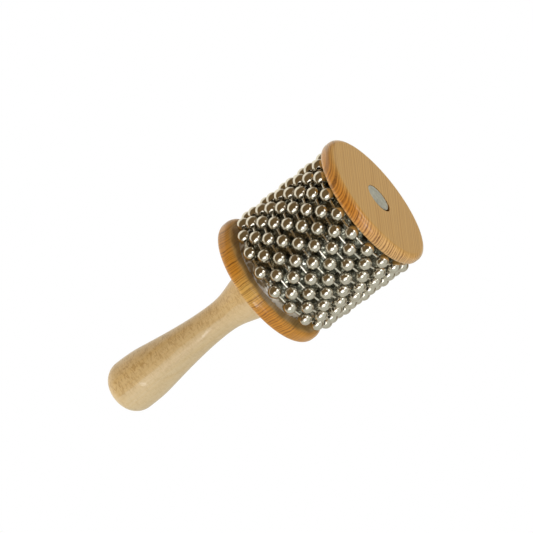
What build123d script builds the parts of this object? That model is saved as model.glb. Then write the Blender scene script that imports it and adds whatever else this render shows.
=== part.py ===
from build123d import *
import math
import os

# Cabasa, in millimetres: it stands on its end disc, and +Z runs up the axis to the pommel

# Wooden discs
END_DISC_DIAMETER = 75.8
END_DISC_THICKNESS = 7.6
HANDLE_DISC_DIAMETER = 76.4
HANDLE_DISC_THICKNESS = 8.2
RIM_FLAT = 1.6  # straight band left between the two rounded edges of a rim

# Loops of ball chain
LOOP_COUNT = 9
BEADS_PER_LOOP = 18
BEAD_DIAMETER = 7.4
BEAD_SIDES = 8
BELT_LATITUDE = 22.0  # edge of a bead's widest band of facets
CAP_LATITUDE = 64.0  # edge of the flat that a link enters
FIRST_BEAD_ANGLE = 2.3  # degrees from +X; every second loop is half a bead further round
LINK_DIAMETER = 1.2
LINK_SIDES = 3
LINK_PLAY = 0.1  # between the end of a link and its bead
LOOP_PITCH = 6.5  # between loops, whose staggered beads nest
LOOP_REST_GAP = 0.6  # bare drum below the lowest loop
LOOP_SLACK = 3.15  # bare drum above the highest loop
LOOP_PLAY = 1.45  # all round between a centred loop and the skin
LOOP_SEAT_GAP = 0.3  # left on the +X side, where the loops lie against the skin
DISC_OVERHANG = 0.3  # end disc's edge beyond a centred loop

# Drum
SKIN_WALL = 0.5
SKIN_SEAM = 0.4  # butt gap where the rolled sheet meets itself
SKIN_PLAY = 0.05  # between the sleeve and the core

# Handle
HANDLE_LENGTH = 108.4
SEAT_DIAMETER = 30.0
SEAT_LEAN = 0.1  # how far the side leans in for each millimetre up at the seat
FLARE_DIAMETER = 25.2
FLARE_HEIGHT = 13.5
THROAT_DIAMETER = 19.5
THROAT_HEIGHT = 24.5
NECK_DIAMETER = 18.4
NECK_HEIGHT = 36.0
SWELL_DIAMETER = 20.6
SWELL_HEIGHT = 52.0
GRIP_DIAMETER = 27.0
GRIP_HEIGHT = 76.0
POMMEL_DIAMETER = 30.1
POMMEL_SHOULDER_RADIUS = 11.0
POMMEL_NOSE_RADIUS = 20.0

# Clamp bolt, washer, insert and cap
BOLT_DIAMETER = 6.0
BOLT_PLAY = 0.25  # round the shank in the wood and the washer
BOLT_HEAD_DIAMETER = 10.0
BOLT_HEAD_HEIGHT = 2.2
WASHER_DIAMETER = 14.0
WASHER_THICKNESS = 1.2
INSERT_DIAMETER = 9.0
INSERT_LENGTH = 16.0
INSERT_PLAY = 0.05  # both inside on the bolt and outside in the handle
BOLT_END_ROOM = 4.0  # empty bore past the bolt's end
RECESS_DIAMETER = 16.8
RECESS_OFFSET = 0.5  # the recess is bored a little off the axis, towards -X
CAP_DIAMETER = 15.4
CAP_PLATE = 1.0
CAP_INSET = 0.15  # cap face below the disc face
CAP_SKIRT_WALL = 0.8
CAP_SKIRT_GAP = 0.4  # skirt edge above the washer
CAP_PLAY = 0.05  # between the skirt and the bolt head

# Sizes that follow
bead_radius = BEAD_DIAMETER / 2
loop_radius = END_DISC_DIAMETER / 2 - DISC_OVERHANG - bead_radius
skin_radius = loop_radius - bead_radius - LOOP_PLAY
core_radius = skin_radius - SKIN_WALL - SKIN_PLAY
loop_shift = LOOP_PLAY - LOOP_SEAT_GAP
bead_step = 360 / BEADS_PER_LOOP
loops_length = (LOOP_COUNT - 1) * LOOP_PITCH + BEAD_DIAMETER
drum_length = LOOP_REST_GAP + loops_length + LOOP_SLACK
bolt_radius = BOLT_DIAMETER / 2
bolt_hole_radius = bolt_radius + BOLT_PLAY

# Heights of the seats, from the foot up
cap_seat = CAP_INSET + CAP_PLATE
washer_base = cap_seat + BOLT_HEAD_HEIGHT
recess_depth = washer_base + WASHER_THICKNESS
drum_base = END_DISC_THICKNESS
drum_top = drum_base + drum_length
handle_base = drum_top + HANDLE_DISC_THICKNESS
bolt_end = handle_base + INSERT_LENGTH

UPWARD = (Align.CENTER, Align.CENTER, Align.MIN)


def rod(radius, base, top):
    return Pos(0, 0, base) * Cylinder(radius, top - base, align=UPWARD)


def tube(outer, inner, base, top):
    return rod(outer, base, top) - rod(inner, base, top)


def rounded_disc(diameter, thickness, base):
    blank = rod(diameter / 2, base, base + thickness)
    return fillet(blank.edges().filter_by(GeomType.CIRCLE), (thickness - RIM_FLAT) / 2)


def make_end_disc():
    blank = rounded_disc(END_DISC_DIAMETER, END_DISC_THICKNESS, 0)
    disc = blank - rod(bolt_hole_radius, 0, END_DISC_THICKNESS)
    return disc - Pos(-RECESS_OFFSET, 0, 0) * rod(RECESS_DIAMETER / 2, 0, recess_depth)


def make_handle_disc():
    blank = rounded_disc(HANDLE_DISC_DIAMETER, HANDLE_DISC_THICKNESS, drum_top)
    return blank - rod(bolt_hole_radius, drum_top, handle_base)


def make_drum_core():
    return tube(core_radius, bolt_hole_radius, drum_base, drum_top)


def make_drum_skin():
    sleeve = tube(skin_radius, skin_radius - SKIN_WALL, drum_base, drum_top)
    seam = Pos(0, skin_radius, drum_base) * Box(SKIN_SEAM, skin_radius, drum_length, align=UPWARD)
    return sleeve - seam


# The pommel is a shoulder arc that runs into a flatter nose arc centred on the axis
def make_handle():
    tip = HANDLE_LENGTH
    pommel_radius = POMMEL_DIAMETER / 2
    nose_centre = tip - POMMEL_NOSE_RADIUS
    shoulder_reach = pommel_radius - POMMEL_SHOULDER_RADIUS
    centre_distance = POMMEL_NOSE_RADIUS - POMMEL_SHOULDER_RADIUS
    shoulder_rise = math.sqrt(centre_distance**2 - shoulder_reach**2)
    shoulder_height = nose_centre + shoulder_rise
    nose_share = POMMEL_NOSE_RADIUS / centre_distance
    nose_start = (shoulder_reach * nose_share, nose_centre + shoulder_rise * nose_share)
    outline = [
        (SEAT_DIAMETER / 2, 0),
        (FLARE_DIAMETER / 2, FLARE_HEIGHT),
        (THROAT_DIAMETER / 2, THROAT_HEIGHT),
        (NECK_DIAMETER / 2, NECK_HEIGHT),
        (SWELL_DIAMETER / 2, SWELL_HEIGHT),
        (GRIP_DIAMETER / 2, GRIP_HEIGHT),
        (pommel_radius, shoulder_height),
    ]
    side = Spline(*outline, tangents=[(-SEAT_LEAN, 1), (0, 1)])
    shoulder = TangentArc(side @ 1, nose_start, tangent=(0, 1))
    nose = TangentArc(nose_start, (0, tip), tangent=shoulder % 1)
    spine = Line((0, tip), (0, 0))
    seat = Line((0, 0), outline[0])
    profile = make_face(Curve() + [side, shoulder, nose, spine, seat])
    blank = revolve(Plane.XZ * profile, Axis.Z)
    bore = rod(INSERT_DIAMETER / 2 + INSERT_PLAY, 0, INSERT_LENGTH + BOLT_END_ROOM)
    return Pos(0, 0, handle_base) * (blank - bore)


def make_handle_insert():
    return tube(INSERT_DIAMETER / 2, bolt_radius + INSERT_PLAY, handle_base, handle_base + INSERT_LENGTH)


def make_clamp_bolt():
    return rod(BOLT_HEAD_DIAMETER / 2, cap_seat, washer_base) + rod(bolt_radius, washer_base, bolt_end)


def make_bolt_washer():
    return tube(WASHER_DIAMETER / 2, bolt_hole_radius, washer_base, recess_depth)


def make_end_cap():
    plate = rod(CAP_DIAMETER / 2, CAP_INSET, cap_seat)
    skirt_inner = BOLT_HEAD_DIAMETER / 2 + CAP_PLAY
    return plate + tube(skirt_inner + CAP_SKIRT_WALL, skirt_inner, cap_seat, washer_base - CAP_SKIRT_GAP)


# One bead lies along Y: bands of flat facets between two flats, with every corner on the ball
def make_bead():
    rings = []
    for latitude in (-CAP_LATITUDE, -BELT_LATITUDE, BELT_LATITUDE, CAP_LATITUDE):
        along = bead_radius * math.sin(math.radians(latitude))
        across = bead_radius * math.cos(math.radians(latitude))
        turns = [2 * math.pi * side / BEAD_SIDES for side in range(BEAD_SIDES + 1)]
        rings.append([Vector(across * math.cos(turn), along, across * math.sin(turn)) for turn in turns])
    facets = [Face(Wire.make_polygon(rings[end][:-1])) for end in (0, -1)]
    for lower, upper in zip(rings, rings[1:]):
        for side in range(BEAD_SIDES):
            corners = [lower[side], lower[side + 1], upper[side + 1], upper[side]]
            facets.append(Face(Wire.make_polygon(corners)))
    return Solid(Shell(facets))


# A link lies along Y on the chord between two beads, whose flats lean half a step towards it
def make_link():
    lean = math.radians(bead_step / 2)
    flat = bead_radius * math.sin(math.radians(CAP_LATITUDE))
    half_chord = loop_radius * math.sin(lean)
    link_radius = LINK_DIAMETER / 2
    half_length = half_chord - flat / math.cos(lean) - link_radius * math.tan(lean) - LINK_PLAY
    place = Plane(origin=(0, 0, 0), x_dir=(1, 0, 0), z_dir=(0, 1, 0))
    return extrude(place * RegularPolygon(link_radius, LINK_SIDES), half_length, both=True)


def around_loop(piece, radius, height, first_angle):
    turns = [first_angle + bead_step * count for count in range(BEADS_PER_LOOP)]
    centre = Pos(-loop_shift, 0, height)
    return Compound([centre * Rot(0, 0, turn) * Pos(radius, 0, 0) * piece for turn in turns])


def make_loops():
    bead = make_bead()
    link = make_link()
    link_radius = loop_radius * math.cos(math.radians(bead_step / 2))
    loops = {}
    for number in range(LOOP_COUNT):
        height = drum_base + LOOP_REST_GAP + bead_radius + number * LOOP_PITCH
        angle = FIRST_BEAD_ANGLE + (number % 2) * bead_step / 2
        loops[f"loop_{number + 1}_beads"] = around_loop(bead, loop_radius, height, angle)
        loops[f"loop_{number + 1}_links"] = around_loop(link, link_radius, height, angle + bead_step / 2)
    return loops


pieces = {
    "end_disc": make_end_disc(),
    "handle_disc": make_handle_disc(),
    "drum_core": make_drum_core(),
    "drum_skin": make_drum_skin(),
    "handle": make_handle(),
    "handle_insert": make_handle_insert(),
    "clamp_bolt": make_clamp_bolt(),
    "bolt_washer": make_bolt_washer(),
    "end_cap": make_end_cap(),
    **make_loops(),
}

os.makedirs("parts", exist_ok=True)
for name, piece in pieces.items():
    export_step(piece, f"parts/{name}.step")
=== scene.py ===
import math
import random
import bmesh
import bpy
from mathutils import Matrix, Vector


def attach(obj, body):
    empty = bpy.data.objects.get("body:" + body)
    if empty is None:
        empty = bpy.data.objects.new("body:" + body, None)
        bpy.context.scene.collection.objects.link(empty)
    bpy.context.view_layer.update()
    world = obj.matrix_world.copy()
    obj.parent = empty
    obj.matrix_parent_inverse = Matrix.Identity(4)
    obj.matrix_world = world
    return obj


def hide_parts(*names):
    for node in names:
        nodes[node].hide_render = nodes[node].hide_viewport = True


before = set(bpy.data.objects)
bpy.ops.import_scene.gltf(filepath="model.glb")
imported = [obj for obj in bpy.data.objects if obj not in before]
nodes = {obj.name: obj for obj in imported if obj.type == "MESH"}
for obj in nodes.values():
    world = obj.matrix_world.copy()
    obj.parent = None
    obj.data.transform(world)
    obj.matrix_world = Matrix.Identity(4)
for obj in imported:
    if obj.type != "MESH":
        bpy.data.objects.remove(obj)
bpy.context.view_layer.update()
scene = bpy.context.scene

# Sizes of the ball chain, in metres, as in the part's solids
MM = 0.001
LOOP_COUNT = 9
BEADS_PER_LOOP = 18
BEAD_RADIUS = 3.7 * MM
LOOP_RADIUS = 33.9 * MM
LOOP_SHIFT = 1.15 * MM
FIRST_LOOP_HEIGHT = 11.9 * MM
LOOP_PITCH = 6.5 * MM
FIRST_BEAD_ANGLE = math.radians(2.3)
BEAD_STEP = 2 * math.pi / BEADS_PER_LOOP

# Fine forms of a bead and a link
BEAD_SEGMENTS = 28
BEAD_RINGS = 16
HOLE_RADIUS = 0.85 * MM
LIP_RADIUS = 0.16 * MM
LIP_STEPS = 4
LINK_RADIUS = 0.6 * MM
LINK_SEGMENTS = 14
LINK_REACH = 0.7 * MM  # how far a link goes into a bead
BEAD_DRIFT = 0.18 * MM  # how far a bead may slide along its loop
DRIFT_SEED = 7

# Half of a link's outline: share of its radius at a share of the way from its middle to its end
LINK_OUTLINE = ((0.97, 0.0), (1.0, 0.45), (1.08, 0.8), (0.9, 1.0))

# Sockets of the node that blends two colours
BLEND_FACTOR = 0
BLEND_FIRST = 6
BLEND_SECOND = 7
BLEND_RESULT = 2

# Sockets of the node that blends two surfaces
SURFACE_FACTOR = 0
SURFACE_FIRST = 1
SURFACE_SECOND = 2

# Ranges of a share, and of the values that a noise mostly takes
WHOLE = (0.0, 1.0)
FALLING = (1.0, 0.0)
WIDEST = (0.2, 0.8)
WIDE = (0.25, 0.75)
MIDDLE = (0.3, 0.7)
NARROW = (0.35, 0.65)


# Node helpers
def plug(tree, socket, value):
    if isinstance(value, bpy.types.NodeSocket):
        tree.links.new(value, socket)
    else:
        socket.default_value = value


def add(tree, kind, inputs=None, **settings):
    node = tree.nodes.new(kind)
    for key, value in settings.items():
        setattr(node, key, value)
    for key, value in (inputs or {}).items():
        plug(tree, node.inputs[key], value)
    return node


def calc(tree, operation, *values, clamp=False):
    inputs = dict(enumerate(values))
    return add(tree, "ShaderNodeMath", inputs, operation=operation, use_clamp=clamp).outputs["Value"]


def vector_calc(tree, operation, *vectors):
    return add(tree, "ShaderNodeVectorMath", dict(enumerate(vectors)), operation=operation).outputs


def split(tree, vector):
    return add(tree, "ShaderNodeSeparateXYZ", {"Vector": vector}).outputs


def blend_colour(tree, factor, first, second, mode="MIX"):
    inputs = {BLEND_FACTOR: factor, BLEND_FIRST: first, BLEND_SECOND: second}
    return add(tree, "ShaderNodeMix", inputs, data_type="RGBA", blend_type=mode).outputs[BLEND_RESULT]


def shade(tree, colour, shading):
    return blend_colour(tree, 1.0, colour, shading, "MULTIPLY")


def ramp(tree, factor, stops):
    node = add(tree, "ShaderNodeValToRGB", {"Fac": factor})
    elements = node.color_ramp.elements
    while len(elements) < len(stops):
        elements.new(1.0)
    for element, (position, value) in zip(elements, stops):
        element.position = position
        element.color = (value, value, value, 1)
    return node.outputs["Color"]


def noise(tree, place, scale, detail=2.0, roughness=0.5, distortion=0.0):
    inputs = {
        "Vector": vector_calc(tree, "MULTIPLY", place, scale)["Vector"],
        "Scale": 1.0,
        "Detail": detail,
        "Roughness": roughness,
        "Distortion": distortion,
    }
    return add(tree, "ShaderNodeTexNoise", inputs).outputs["Fac"]


def noise_line(tree, place, scale, detail=1.0):
    inputs = {"W": place, "Scale": scale, "Detail": detail}
    return add(tree, "ShaderNodeTexNoise", inputs, noise_dimensions="1D").outputs["Fac"]


def spread(tree, value, source, target):
    inputs = {
        "Value": value,
        "From Min": source[0],
        "From Max": source[1],
        "To Min": target[0],
        "To Max": target[1],
    }
    return add(tree, "ShaderNodeMapRange", inputs).outputs["Result"]


def place_mm(tree, turn=0.0, shift=(0, 0, 0)):
    place = add(tree, "ShaderNodeTexCoord").outputs["Object"]
    scaled = add(tree, "ShaderNodeVectorMath", {0: place, "Scale": 1 / MM}, operation="SCALE")
    inputs = {"Vector": scaled.outputs["Vector"], "Location": shift, "Rotation": (0, 0, turn)}
    return add(tree, "ShaderNodeMapping", inputs).outputs["Vector"]


def start_material(name, **constants):
    material = bpy.data.materials.new(name)
    material.use_nodes = True
    shader = material.node_tree.nodes["Principled BSDF"]
    for key, value in constants.items():
        shader.inputs[key.replace("_", " ")].default_value = value
    return material, material.node_tree, shader


def cover(tree, shader, colour, roughness):
    plug(tree, shader.inputs["Base Color"], colour)
    plug(tree, shader.inputs["Roughness"], roughness)


def add_bump(tree, shader, height, strength, distance):
    bump = add(tree, "ShaderNodeBump", {"Height": height, "Strength": strength, "Distance": distance})
    plug(tree, shader.inputs["Normal"], bump.outputs["Normal"])


# Colours of the discs' wood, on a face and where the grain ends at the rim
FACE_EARLY = (0.575, 0.35, 0.115, 1)
FACE_LATE = (0.42, 0.22, 0.055, 1)
END_RED = (0.5, 0.19, 0.022, 1)
# END_PALE is the rim painted paler as a painted highlight
END_PALE = (0.6, 0.36, 0.14, 1)
END_LATE = (0.1, 0.022, 0.001, 1)
PLAIN = (1.0, 1.0, 1.0, 1)
GOLDEN = (0.95, 1.02, 0.75, 1)

# Growth rings: scales are per millimetre, across, along and up through the grain
RING_WANDER_SCALE = (0.05, 0.012, 0.08)
RING_WANDER = (-2.2, 2.2)  # millimetres
RING_CROWD_SCALE = 0.2
RING_CROWDING = (-2.4, 2.4)  # millimetres
RING_WEIGHT_SCALE = 0.45
RING_WEIGHT = (0.55, 1.0)
LATE_RISE = 0.22  # share of a ring over which the late wood darkens
LATE_RISEN = 0.9  # its darkness at the end of that rise
LATE_DARKEST = 0.9  # share of a ring at which it is darkest
FACE_LATE_SHARE = 0.8
STREAK_BREAK_SCALE = (0.7, 0.7, 0.5)
STREAK_STRENGTH = (0.6, 1.1)
END_BY_GRAIN = 0.45
END_BY_RIM = 0.55
DISC_FIBRE_SCALE = (2.4, 0.07, 2.4)
DISC_FIBRE_SHADE = (0.88, 1.1)
DISC_ROUGHNESS = (0.34, 0.5)
DISC_COAT_ROUGHNESS = 0.03
DISC_SPECULAR = 0.2


# Softwood with upright growth rings, dark and streaked where the grain ends at the rim
def disc_wood(
    name,
    *,
    grain_angle,
    ring_gap,
    early_share,
    lean,
    shift,
    pale_at,
    pale_reach,
    paling,
    tone,
    edge,
    coat,
):
    material, tree, shader = start_material(
        name,
        Coat_Weight=coat,
        Coat_Roughness=DISC_COAT_ROUGHNESS,
        Specular_IOR_Level=DISC_SPECULAR,
    )
    place = place_mm(tree, -grain_angle, shift)
    spot = split(tree, place)
    across = spot["X"]
    # Paler round pale_at on the rim: a painted highlight where light falls on it
    pale_distance = calc(tree, "ABSOLUTE", calc(tree, "SUBTRACT", across, pale_at))
    painted_highlight_paling = spread(tree, pale_distance, pale_reach, (0.0, paling))

    wander = spread(tree, noise(tree, place, RING_WANDER_SCALE), WHOLE, RING_WANDER)
    across = calc(tree, "ADD", across, wander)
    across = calc(tree, "MULTIPLY_ADD", spot["Z"], lean, across)
    crowding = spread(tree, noise_line(tree, across, RING_CROWD_SCALE, detail=2.0), WHOLE, RING_CROWDING)
    across = calc(tree, "ADD", across, crowding)
    phase = calc(tree, "FRACT", calc(tree, "DIVIDE", across, ring_gap))
    late_stops = (
        (0.0, 0.0),
        (early_share, 0.0),
        (early_share + LATE_RISE, LATE_RISEN),
        (LATE_DARKEST, 1.0),
        (1.0, 0.0),
    )
    weight = spread(tree, noise_line(tree, across, RING_WEIGHT_SCALE), MIDDLE, RING_WEIGHT)
    late = calc(tree, "MULTIPLY", ramp(tree, phase, late_stops), weight)

    normal = add(tree, "ShaderNodeNewGeometry").outputs["Normal"]
    along = (-math.sin(grain_angle), math.cos(grain_angle), 0)
    facing = calc(tree, "ABSOLUTE", vector_calc(tree, "DOT_PRODUCT", normal, along)["Value"])
    upright = split(tree, normal)["Z"]
    level = calc(tree, "SUBTRACT", 1.0, calc(tree, "MULTIPLY", upright, upright), clamp=True)
    rim = spread(tree, calc(tree, "SQRT", level), (0.0, edge), WHOLE)
    end = calc(tree, "MULTIPLY_ADD", rim, END_BY_RIM, calc(tree, "MULTIPLY", facing, END_BY_GRAIN))

    face_colour = blend_colour(tree, calc(tree, "MULTIPLY", late, FACE_LATE_SHARE), FACE_EARLY, FACE_LATE)
    broken = noise(tree, place, STREAK_BREAK_SCALE, detail=3.0, roughness=0.65)
    streak = calc(tree, "MULTIPLY", late, spread(tree, broken, NARROW, STREAK_STRENGTH))
    end_colour = blend_colour(tree, painted_highlight_paling, END_RED, END_PALE)
    end_colour = blend_colour(tree, streak, end_colour, END_LATE)
    colour = blend_colour(tree, end, face_colour, shade(tree, end_colour, tone))
    fibre = noise(tree, place, DISC_FIBRE_SCALE, detail=3.0, roughness=0.6)
    colour = shade(tree, colour, spread(tree, fibre, WIDE, DISC_FIBRE_SHADE))
    cover(tree, shader, colour, spread(tree, fibre, WIDEST, DISC_ROUGHNESS))
    add_bump(tree, shader, calc(tree, "ADD", late, fibre), strength=0.06, distance=0.08 * MM)
    return material


# Colours and figure of the handle's wood: scales are per millimetre, widths in millimetres across it
MAPLE_LIT_PALE = (0.565, 0.448, 0.277, 1)
MAPLE_WARM_SHADE_AND_FIGURE = (0.53, 0.367, 0.158, 1)
MAPLE_FLECK = (0.33, 0.195, 0.058, 1)
FIGURE_WANDER_SCALE = (0.09, 0.09, 0.02)
FIGURE_WANDER = (-4.0, 4.0)  # millimetres
FIGURE_SCALE = 0.55
FIGURE_SHARE = (-0.12, 0.3)
# The warm colour towards +X is painted shade and the pale one towards -X the painted lit side with its
# sheen; the long figure adds real warm streaks
SHADED_SIDE_WIDTH = (-6.0, 7.0)
SHADED_SIDE_SHARE = (0.0, 0.8)
FLECK_SCALE = (0.36, 0.36, 0.9)
FLECK_STOPS = ((0.46, 0.0), (0.6, 1.0))
FLECKED_WIDTH = (-3.0, 5.0)
FLECKED_SHARE = (0.3, 1.0)
FLECK_STRENGTH = 0.62
PATCH_SCALE = (0.35, 0.35, 0.28)
PATCH_STOPS = ((0.38, 0.3), (0.54, 1.0))
MAPLE_FIBRE_SCALE = (2.6, 2.6, 0.09)
MAPLE_FIBRE_SHADE = (0.93, 1.06)
MAPLE_ROUGHNESS = (0.3, 0.42)
MAPLE_COAT = 0.5
MAPLE_COAT_ROUGHNESS = 0.08


# Pale maple with faint long figure and short brown ray flecks, painted warm and darker towards +X as
# painted shade and pale towards -X as the painted lit side
def handle_wood(name):
    material, tree, shader = start_material(
        name,
        Coat_Weight=MAPLE_COAT,
        Coat_Roughness=MAPLE_COAT_ROUGHNESS,
    )
    place = place_mm(tree)
    wander = spread(tree, noise(tree, place, FIGURE_WANDER_SCALE), WHOLE, FIGURE_WANDER)
    across = calc(tree, "ADD", split(tree, place)["X"], wander)
    figure = spread(tree, noise_line(tree, across, FIGURE_SCALE, detail=2.0), MIDDLE, FIGURE_SHARE)
    # Painted shade on the +X side, with the real figure added
    shade_and_figure = calc(tree, "ADD", spread(tree, across, SHADED_SIDE_WIDTH, SHADED_SIDE_SHARE), figure, clamp=True)

    patch = ramp(tree, noise(tree, place, PATCH_SCALE, distortion=0.6), PATCH_STOPS)
    patch = calc(tree, "MULTIPLY", patch, spread(tree, across, FLECKED_WIDTH, FLECKED_SHARE))
    fleck = ramp(tree, noise(tree, place, FLECK_SCALE, detail=1.0, distortion=1.2), FLECK_STOPS)
    fleck = calc(tree, "MULTIPLY", fleck, patch)

    colour = blend_colour(tree, shade_and_figure, MAPLE_LIT_PALE, MAPLE_WARM_SHADE_AND_FIGURE)
    colour = blend_colour(tree, calc(tree, "MULTIPLY", fleck, FLECK_STRENGTH), colour, MAPLE_FLECK)
    fibre = noise(tree, place, MAPLE_FIBRE_SCALE, detail=3.0, roughness=0.6)
    colour = shade(tree, colour, spread(tree, fibre, WIDE, MAPLE_FIBRE_SHADE))
    cover(tree, shader, colour, spread(tree, fibre, WIDEST, MAPLE_ROUGHNESS))
    add_bump(tree, shader, calc(tree, "ADD", fibre, fleck), strength=0.06, distance=0.05 * MM)
    return material


# Wear of the plating
PLATING_BLOTCH_SCALE = (0.6, 0.6, 0.6)
PLATING_DULL_STOPS = ((0.4, 0.0), (0.75, 1.0))
PLATING_WORN = (0.3, 0.8)


# Polished plating with shallow dents and faint wear, duller in blotches
def plated_metal(name, colour, dull, roughness, dent_scale):
    material, tree, shader = start_material(name, Metallic=1.0)
    place = place_mm(tree)
    blotch = noise(tree, place, PLATING_BLOTCH_SCALE, detail=3.0, roughness=0.6)
    tint = blend_colour(tree, ramp(tree, blotch, PLATING_DULL_STOPS), colour, dull)
    cover(tree, shader, tint, spread(tree, blotch, PLATING_WORN, roughness))
    dents = noise(tree, place, (dent_scale, dent_scale, dent_scale))
    add_bump(tree, shader, dents, strength=0.4, distance=0.2 * MM)
    return material


# Colours of the steel sheet: painted shade with painted glints under the loops, pale with painted
# reflections on the bare band
STEEL_PAINTED_WOOD_REFLECTION = (0.34, 0.28, 0.19, 1)
STEEL_BRIGHT = (0.93, 0.93, 0.9, 1)
STEEL_PAINTED_SHADE = (0.1, 0.106, 0.082, 1)
STEEL_PAINTED_GLINT = (0.6, 0.61, 0.54, 1)
# Below this height the sheet lies under the loops and is painted dark as painted shade; above it is the
# bare band
LOOPS_TOP = (66.0, 68.5)  # millimetres up, where the rubbed part ends
STEEL_METALLIC = (0.45, 1.0)
WOOD_REFLECTION_SCALE = (0.26, 0.26, 0.4)
WOOD_REFLECTION_STOPS = ((0.44, 0.0), (0.56, 1.0))
PAINTED_GLINT_SCALE = (0.55, 0.55, 0.55)
PAINTED_GLINT_STOPS = ((0.53, 0.0), (0.6, 1.0))
SHADE_PATCH_SCALE = (0.35, 0.35, 0.5)
SHADE_PATCH_STRENGTH = (0.75, 1.0)
SCUFF_SCALE = (0.9, 0.9, 7.0)
SCUFF_SHADE = (0.85, 1.1)
SCUFF_ROUGHNESS = (0.06, 0.14)
SHEET_DENT_SCALE = (0.6, 0.6, 0.6)


# Steel sheet with painted shade and painted glints where the loops cover it, and pale with painted
# reflections on the bare band
def drum_steel(name):
    material, tree, shader = start_material(name)
    place = place_mm(tree)
    under_loops = spread(tree, split(tree, place)["Z"], LOOPS_TOP, FALLING)
    plug(tree, shader.inputs["Metallic"], spread(tree, under_loops, WHOLE, STEEL_METALLIC))
    # Painted shade: the sheet under the loops is painted dark in patches, standing in for the shade
    # between the beads
    shade_patches = noise(tree, place, SHADE_PATCH_SCALE, detail=3.0, roughness=0.6)
    painted_shade_share = calc(tree, "MULTIPLY", under_loops, spread(tree, shade_patches, MIDDLE, SHADE_PATCH_STRENGTH))
    # Painted reflections on the bare band: tan and bright blotches standing in for the mirrored wooden
    # disc and light
    painted_wood_reflection = ramp(tree, noise(tree, place, WOOD_REFLECTION_SCALE), WOOD_REFLECTION_STOPS)
    bare = blend_colour(tree, painted_wood_reflection, STEEL_PAINTED_WOOD_REFLECTION, STEEL_BRIGHT)
    # Painted glints: bright patches in the painted shade, standing in for reflections between the beads
    painted_glint = ramp(tree, noise(tree, place, PAINTED_GLINT_SCALE), PAINTED_GLINT_STOPS)
    painted_shade_and_glints = blend_colour(tree, painted_glint, STEEL_PAINTED_SHADE, STEEL_PAINTED_GLINT)
    scuff = noise(tree, place, SCUFF_SCALE, detail=3.0, roughness=0.65)
    colour = shade(tree, blend_colour(tree, painted_shade_share, bare, painted_shade_and_glints), spread(tree, scuff, MIDDLE, SCUFF_SHADE))
    cover(tree, shader, colour, spread(tree, scuff, MIDDLE, SCUFF_ROUGHNESS))
    dents = noise(tree, place, SHEET_DENT_SCALE, roughness=0.6)
    add_bump(tree, shader, dents, strength=0.7, distance=0.5 * MM)
    return material


# Turning marks and tarnish
TURNING_SCALE = 9.0
TARNISH_SCALE = (0.4, 0.4, 0.4)
TARNISH_SHADE = (0.75, 1.12)


# Turned satin metal with fine rings about the drum axis
def turned_metal(name, metallic, colour, dull, roughness):
    material, tree, shader = start_material(name, Metallic=metallic)
    place = place_mm(tree)
    spot = split(tree, place)
    squares = [calc(tree, "MULTIPLY", spot[axis], spot[axis]) for axis in ("X", "Y")]
    radius = calc(tree, "SQRT", calc(tree, "ADD", *squares))
    rings = noise_line(tree, radius, TURNING_SCALE, detail=2.0)
    tarnish = noise(tree, place, TARNISH_SCALE, detail=3.0, roughness=0.6)
    tint = blend_colour(tree, spread(tree, rings, MIDDLE, WHOLE), colour, dull)
    tint = shade(tree, tint, spread(tree, tarnish, NARROW, TARNISH_SHADE))
    cover(tree, shader, tint, spread(tree, tarnish, MIDDLE, roughness))
    add_bump(tree, shader, rings, strength=0.15, distance=0.02 * MM)
    return material


end_disc_wood = disc_wood(
    "end_disc_wood",
    grain_angle=math.radians(-25.9),
    ring_gap=1.6,
    early_share=0.42,
    lean=0.45,
    shift=(0.3, 0, 0),
    pale_at=-60.0,
    pale_reach=(80.0, 58.0),
    paling=0.95,
    tone=PLAIN,
    edge=1.0,
    coat=0.75,
)
handle_disc_wood = disc_wood(
    "handle_disc_wood",
    grain_angle=math.radians(-3.0),
    ring_gap=1.25,
    early_share=0.5,
    lean=-0.1,
    shift=(41.7, 13.0, 0),
    pale_at=45.7,
    pale_reach=(12.0, 3.0),
    paling=0.75,
    tone=GOLDEN,
    edge=0.45,
    coat=0.45,
)
core_wood = disc_wood(
    "drum_core_wood",
    grain_angle=0.0,
    ring_gap=1.6,
    early_share=0.4,
    lean=0.1,
    shift=(5.0, 0, 0),
    pale_at=-60.0,
    pale_reach=(74.0, 58.0),
    paling=0.5,
    tone=PLAIN,
    edge=1.0,
    coat=0.5,
)
maple = handle_wood("handle_maple")
bead_metal = plated_metal(
    "bead_nickel",
    colour=(0.755, 0.725, 0.65, 1),
    dull=(0.63, 0.59, 0.51, 1),
    roughness=(0.08, 0.16),
    dent_scale=0.7,
)
link_metal = plated_metal(
    "link_nickel",
    colour=(0.86, 0.84, 0.78, 1),
    dull=(0.74, 0.71, 0.64, 1),
    roughness=(0.1, 0.2),
    dent_scale=0.9,
)
skin_metal = drum_steel("skin_steel")
cap_metal = turned_metal(
    "cap_aluminium",
    metallic=0.35,
    colour=(0.53, 0.56, 0.51, 1),
    dull=(0.45, 0.48, 0.44, 1),
    roughness=(0.38, 0.5),
)
bolt_metal = turned_metal(
    "bolt_zinc",
    metallic=0.85,
    colour=(0.62, 0.62, 0.62, 1),
    dull=(0.5, 0.5, 0.5, 1),
    roughness=(0.3, 0.45),
)
brass = turned_metal(
    "insert_brass",
    metallic=0.85,
    colour=(0.72, 0.52, 0.2, 1),
    dull=(0.6, 0.42, 0.15, 1),
    roughness=(0.3, 0.4),
)

# Materials of the pieces that show as their solids are
for name, material in {
    "end_disc": end_disc_wood,
    "handle_disc": handle_disc_wood,
    "drum_core": core_wood,
    "drum_skin": skin_metal,
    "handle": maple,
    "handle_insert": brass,
    "clamp_bolt": bolt_metal,
    "bolt_washer": bolt_metal,
    "end_cap": cap_metal,
}.items():
    nodes[name].data.materials.clear()
    nodes[name].data.materials.append(material)


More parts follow.
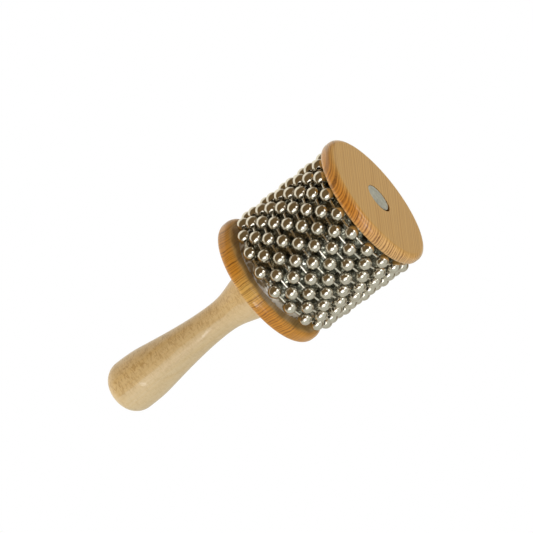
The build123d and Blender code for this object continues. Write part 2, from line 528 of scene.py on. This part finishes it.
# A bead is a pressed ball on the local Y axis, with a rolled lip round each hole
def bead_profile():
    edge = math.asin((HOLE_RADIUS + LIP_RADIUS) / (BEAD_RADIUS - LIP_RADIUS))
    lip_centre = (BEAD_RADIUS - LIP_RADIUS) * math.cos(edge)
    ball = []
    for step in range(BEAD_RINGS + 1):
        turn = edge + (math.pi - 2 * edge) * step / BEAD_RINGS
        ball.append((BEAD_RADIUS * math.sin(turn), BEAD_RADIUS * math.cos(turn)))
    lip = []
    for step in range(1, LIP_STEPS + 1):
        turn = edge - (math.pi / 2 + edge) * step / LIP_STEPS
        across = HOLE_RADIUS + LIP_RADIUS + LIP_RADIUS * math.sin(turn)
        lip.append((across, lip_centre + LIP_RADIUS * math.cos(turn)))
    lip.append((HOLE_RADIUS, lip_centre - 2 * LIP_RADIUS))
    far_lip = [(across, -along) for across, along in lip]
    return lip[::-1] + ball + far_lip


# A link is a thin rod on the local Y axis, a little fuller near its ends
def link_profile(half_length):
    half = [(LINK_RADIUS * across, half_length * along) for across, along in LINK_OUTLINE]
    far_half = [(across, -along) for across, along in half[1:]]
    return half[::-1] + far_half


def lathe(mesh, profile, segments, place):
    rings = []
    for across, along in profile:
        ring = []
        for step in range(segments):
            turn = 2 * math.pi * step / segments
            point = Vector((across * math.cos(turn), along, across * math.sin(turn)))
            ring.append(mesh.verts.new(place @ point))
        rings.append(ring)
    for lower, upper in zip(rings, rings[1:]):
        for step in range(segments):
            after = (step + 1) % segments
            mesh.faces.new((lower[step], lower[after], upper[after], upper[step]))


def finish_piece(name, mesh, material, body, node):
    data = bpy.data.meshes.new(name)
    bmesh.ops.recalc_face_normals(mesh, faces=mesh.faces)
    mesh.to_mesh(data)
    mesh.free()
    data.polygons.foreach_set("use_smooth", [True] * len(data.polygons))
    data.materials.append(material)
    piece = bpy.data.objects.new(name, data)
    scene.collection.objects.link(piece)
    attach(piece, body)
    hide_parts(node)


def on_ring(centre, angle, radius):
    return centre @ Matrix.Rotation(angle, 4, "Z") @ Matrix.Translation((radius, 0, 0))


drift = random.Random(DRIFT_SEED)
half_chord = LOOP_RADIUS * math.sin(BEAD_STEP / 2)
link_ring = LOOP_RADIUS * math.cos(BEAD_STEP / 2)
bead_outline = bead_profile()
link_outline = link_profile(half_chord - BEAD_RADIUS + LINK_REACH)
for number in range(LOOP_COUNT):
    height = FIRST_LOOP_HEIGHT + number * LOOP_PITCH
    centre = Matrix.Translation((-LOOP_SHIFT, 0, height))
    beads = bmesh.new()
    links = bmesh.new()
    for count in range(BEADS_PER_LOOP):
        angle = FIRST_BEAD_ANGLE + BEAD_STEP * (count + (number % 2) / 2)
        slide = drift.uniform(-BEAD_DRIFT, BEAD_DRIFT) / LOOP_RADIUS
        lathe(beads, bead_outline, BEAD_SEGMENTS, on_ring(centre, angle + slide, LOOP_RADIUS))
        lathe(links, link_outline, LINK_SEGMENTS, on_ring(centre, angle + BEAD_STEP / 2, link_ring))
    loop = f"loop_{number + 1}"
    finish_piece(f"{loop}_balls", beads, bead_metal, "bead_loops", f"{loop}_beads")
    finish_piece(f"{loop}_shanks", links, link_metal, "bead_loops", f"{loop}_links")

# Floor just under the foot, fading into the surround, and clear from below, where the photograph looks up
FLOOR_DEPTH = -0.5 * MM
FLOOR_REACH = 2.0
FLOOR_FADE = (0.25, 1.3)
FLOOR_COLOUR = (0.9, 0.91, 0.93, 1)
FLOOR_ROUGHNESS = 0.9
CORNERS = ((-1, -1), (1, -1), (1, 1), (-1, 1))
floor_mesh = bpy.data.meshes.new("floor")
floor_corners = [(x * FLOOR_REACH, y * FLOOR_REACH, FLOOR_DEPTH) for x, y in CORNERS]
floor_mesh.from_pydata(floor_corners, [], [tuple(range(len(CORNERS)))])
floor = bpy.data.objects.new("floor", floor_mesh)
scene.collection.objects.link(floor)
floor_material, paper, paper_shader = start_material(
    "floor_paper",
    Base_Color=FLOOR_COLOUR,
    Roughness=FLOOR_ROUGHNESS,
)
underside = add(paper, "ShaderNodeNewGeometry").outputs["Backfacing"]
floor_place = add(paper, "ShaderNodeTexCoord").outputs["Object"]
floor_distance = vector_calc(paper, "LENGTH", floor_place)["Value"]
faded = spread(paper, floor_distance, FLOOR_FADE, WHOLE)
unseen = calc(paper, "MAXIMUM", underside, faded)
clear = add(paper, "ShaderNodeBsdfTransparent")
floor_inputs = {
    SURFACE_FACTOR: unseen,
    SURFACE_FIRST: paper_shader.outputs["BSDF"],
    SURFACE_SECOND: clear.outputs["BSDF"],
}
floor_surface = add(paper, "ShaderNodeMixShader", floor_inputs)
plug(paper, paper.nodes["Material Output"].inputs["Surface"], floor_surface.outputs["Shader"])
floor_mesh.materials.append(floor_material)
floor.visible_glossy = False
floor.visible_diffuse = False
floor.visible_shadow = False

# White surround to look at; the plating mirrors a pale table, a dim brown room and white paper behind
ROOM = (0.162, 0.107, 0.049, 1)
TABLE = (0.6, 0.6, 0.53, 1)
PAPER = (1.0, 0.95, 0.82, 1)
SHADE = (0.22, 0.17, 0.11, 1)
DESK = (0.545, 0.53, 0.455, 1)
WHITE = (1.0, 1.0, 1.0, 1)
BEHIND = (0, 0.926, 0.377)  # away from the camera
TABLE_EDGE = (0.0, -0.3)
BACK_EDGE = (-0.05, 0.2)
UPPER_EDGE = (-0.35, 0.0)
world = bpy.data.worlds.new("studio")
scene.world = world
world.use_nodes = True
sky = world.node_tree
direction = add(sky, "ShaderNodeTexCoord").outputs["Generated"]
heading = split(sky, direction)
table_side = spread(sky, heading["X"], TABLE_EDGE, WHOLE)
upper_side = spread(sky, heading["Z"], UPPER_EDGE, WHOLE)
back_side = spread(sky, vector_calc(sky, "DOT_PRODUCT", direction, BEHIND)["Value"], BACK_EDGE, WHOLE)
near_colour = blend_colour(sky, table_side, ROOM, TABLE)
far_colour = blend_colour(sky, upper_side, SHADE, blend_colour(sky, table_side, PAPER, DESK))
surround = blend_colour(sky, back_side, near_colour, far_colour)
looked_at = add(sky, "ShaderNodeLightPath").outputs["Is Camera Ray"]
backdrop = sky.nodes["Background"]
plug(sky, backdrop.inputs["Color"], blend_colour(sky, looked_at, surround, WHITE))
plug(sky, backdrop.inputs["Strength"], 1.0)
scene.view_settings.view_transform = "Standard"


# A lamp or the camera, set by its place and axes
def hold(holder, at, right, up, back):
    axes = Matrix((right, up, back)).transposed()
    holder.matrix_world = Matrix.Translation(at) @ axes.to_4x4()
    scene.collection.objects.link(holder)


# Lamps: where they stand, seen from the drum's middle, how they lie, and their light
DRUM_MIDDLE = Vector((0, 0, 0.06))
KEY_SIDE = (-0.34, -0.93, -0.12)
FOOT_SIDE = (-0.08, -0.36, -0.93)
STRIP_START = Vector((-0.36, -0.87, 0.345))
STRIP_END = Vector(FOOT_SIDE)
ALONG_X = (1, 0, 0)
ALONG_Z = (0, 0, 1)
WHITE_LIGHT = (1, 1, 1)
PALE_LIGHT = (1.0, 0.96, 0.9)
CREAM_LIGHT = (1.0, 0.92, 0.8)
WARM_LIGHT = (1.0, 0.92, 0.78)


# Soft lamps aimed at the middle of the drum; a fill lamp isn't mirrored by the plating
def lamp(name, towards, *, distance, size, radiance, tint=WHITE_LIGHT, mirrored=True, side=ALONG_Z):
    length, width = size
    data = bpy.data.lights.new(name, "AREA")
    data.shape = "RECTANGLE"
    data.size = length
    data.size_y = width
    data.energy = radiance * math.pi * length * width
    data.color = tint
    holder = bpy.data.objects.new(name, data)
    holder.visible_glossy = mirrored
    holder.visible_camera = False
    back = Vector(towards).normalized()
    up = back.cross(Vector(side)).normalized()
    hold(holder, DRUM_MIDDLE + back * distance, up.cross(back), up, back)


def fill(name, towards, **settings):
    lamp(name, towards, mirrored=False, **settings)


lamp("key", KEY_SIDE, distance=1.4, size=(0.85, 0.85), radiance=1.55)
fill("key_fill", KEY_SIDE, distance=1.4, size=(0.85, 0.85), radiance=1.7)
lamp("foot", FOOT_SIDE, distance=1.35, size=(0.55, 0.55), radiance=2.4, side=ALONG_X)
lamp(
    "strip",
    STRIP_START + STRIP_END,
    distance=1.22,
    size=(2.4, 0.14),
    radiance=1.3,
    side=STRIP_END - STRIP_START,
)
lamp("window", (-0.35, -0.87, 0.345), distance=1.3, size=(0.5, 0.06), radiance=7.0, side=ALONG_X)
fill("front_fill", (0.66, -0.58, 0.62), distance=1.5, size=(1.2, 1.2), radiance=2.75, tint=CREAM_LIGHT)
fill("side_fill", (-0.52, -0.66, 0.55), distance=1.5, size=(1.2, 1.2), radiance=1.85, tint=PALE_LIGHT)
fill("back_fill", (-0.45, 0.85, 0.35), distance=1.5, size=(1.2, 1.2), radiance=1.2, tint=WARM_LIGHT)
fill(
    "foot_fill",
    (-0.03, -0.12, -0.99),
    distance=1.35,
    size=(0.8, 0.8),
    radiance=4.35,
    tint=PALE_LIGHT,
    side=ALONG_X,
)

# Camera, held as in the photograph
CAMERA_AT = Vector((0.00671, -0.985, -0.30131))
CAMERA_RIGHT = Vector((-0.60888, 0.28115, -0.74179))
CAMERA_BACK = Vector((-0.00013, -0.93513, -0.35431)).normalized()
SENSOR_WIDTH = 36.0
LENS = 135.08
camera_data = bpy.data.cameras.new("camera")
camera_data.sensor_width = SENSOR_WIDTH
camera_data.lens = LENS
camera = bpy.data.objects.new("camera", camera_data)
camera_up = CAMERA_BACK.cross(CAMERA_RIGHT).normalized()
hold(camera, CAMERA_AT, camera_up.cross(CAMERA_BACK), camera_up, CAMERA_BACK)
scene.camera = camera
